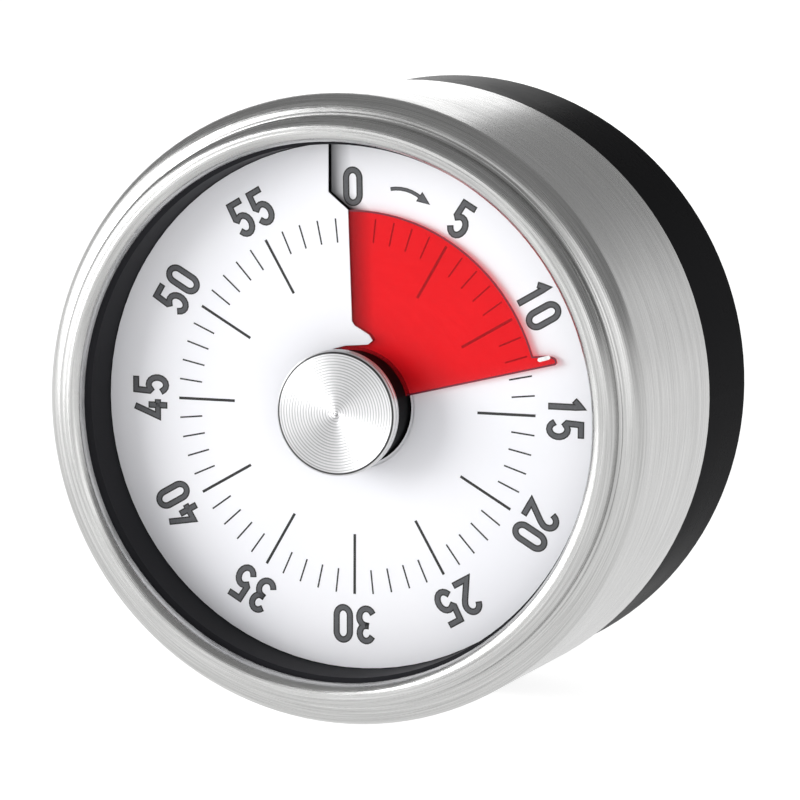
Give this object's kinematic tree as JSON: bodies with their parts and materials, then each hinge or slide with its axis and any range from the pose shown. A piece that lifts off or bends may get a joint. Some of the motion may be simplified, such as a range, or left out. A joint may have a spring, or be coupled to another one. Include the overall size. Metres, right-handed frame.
{
  "type": "kitchen timer",
  "caption": "Round mechanical kitchen timer with a brushed steel case, a recessed white dial, a red time-left disc, a turned metal knob and a magnetic black back.",
  "frame": {"origin": "centre of the magnet's flat face at the back, on the knob's axis", "axes": "+Y runs back out of the magnet face along the knob's axis, so the dial faces -Y; +Z points to the 0 mark at the top of the dial; +X is to the right as the dial is read"},
  "size_m": [0.078, 0.049, 0.078],
  "materials": {
    "brushed_stainless": "stainless steel sheet, brushed around its axis, with a polished rear edge",
    "black_abs": "black moulded ABS, satin",
    "black_abs_matt": "black moulded ABS, fine matt texture",
    "black_gloss": "black moulded ABS, polished",
    "white_dial": "white printed plastic sheet",
    "red_film": "red plastic film",
    "spun_aluminium": "aluminium, turned in fine circles",
    "hub_black": "black moulded plastic",
    "ferrite": "sintered ferrite, dark grey coating",
    "black_rubber": "black rubber",
    "plated_steel": "zinc-plated steel",
    "spring_steel": "blued spring steel",
    "bell_nickel": "nickel-plated steel",
    "brass": "machined brass"
  },
  "bodies": {
    "case": {"steel_case": "brushed_stainless", "dial_surround": "black_abs", "dial_plate": "white_dial", "chassis_plate": "black_abs_matt", "rear_housing": "black_gloss", "magnet": "ferrite", "magnet_yoke": "plated_steel", "rubber_ring": "black_rubber", "rear_screws": "plated_steel", "surround_screws": "plated_steel", "front_plate": "plated_steel", "rear_plate": "plated_steel", "plate_pillars": "brass", "pillar_nuts": "plated_steel", "movement_screws": "plated_steel", "mainspring": "spring_steel", "bell": "bell_nickel", "bell_post": "plated_steel", "bell_screw": "plated_steel", "hammer_stop": "plated_steel", "hammer_spring": "spring_steel"},
    "knob": {"knob_cap": "spun_aluminium", "knob_hub": "hub_black", "winding_arbor": "plated_steel", "red_disc": "red_film", "disc_clamp": "black_abs_matt", "main_wheel": "brass", "clutch_spring": "spring_steel", "alarm_cam": "plated_steel"},
    "second_train": {"second_wheel": "brass", "second_pinion": "plated_steel"},
    "third_train": {"third_wheel": "brass", "third_pinion": "plated_steel"},
    "escapement": {"escape_wheel": "brass", "escape_pinion": "plated_steel"},
    "pallet": {"pallet_lever": "spring_steel", "pallet_arbor": "plated_steel", "balance_bar": "brass"},
    "hammer": {"hammer_arm": "spring_steel", "hammer_arbor": "plated_steel", "hammer_head": "plated_steel"}
  },
  "joints": [
    {"name": "knob_turn", "type": "hinge", "parent": "case", "child": "knob", "pos_m": [0, -0.04, 0], "axis": [0, 1, 0], "range_deg": [-76.2, 266], "deforming": ["red_disc", "mainspring"]},
    {"name": "second_arbor_spin", "type": "hinge", "parent": "case", "child": "second_train", "pos_m": [-0.01325, -0.026, -0.00482], "axis": [0, 1, 0], "range_deg": [-1600, 460]},
    {"name": "third_arbor_spin", "type": "hinge", "parent": "case", "child": "third_train", "pos_m": [-0.00436, -0.026, -0.01288], "axis": [0, 1, 0], "range_deg": [-3432, 11972]},
    {"name": "escape_spin", "type": "hinge", "parent": "case", "child": "escapement", "pos_m": [0.00534, -0.026, -0.01294], "axis": [0, 1, 0], "range_deg": [-83800, 24010]},
    {"name": "pallet_rock", "type": "hinge", "parent": "case", "child": "pallet", "pos_m": [0.01154, -0.026, -0.01068], "axis": [0, 1, 0], "range_deg": [-8, 8]},
    {"name": "hammer_swing", "type": "hinge", "parent": "case", "child": "hammer", "pos_m": [0.0165, -0.019, 0.0165], "axis": [0, -1, 0], "range_deg": [0, 6], "stiffness_Nm_per_rad": 0.004, "springref_deg": -17.19, "deforming": ["hammer_spring"]}
  ],
  "couplings": [
    {"joint": "second_arbor_spin", "follows": "knob_turn", "ratio": -6},
    {"joint": "third_arbor_spin", "follows": "knob_turn", "ratio": 45},
    {"joint": "escape_spin", "follows": "knob_turn", "ratio": -315}
  ]
}
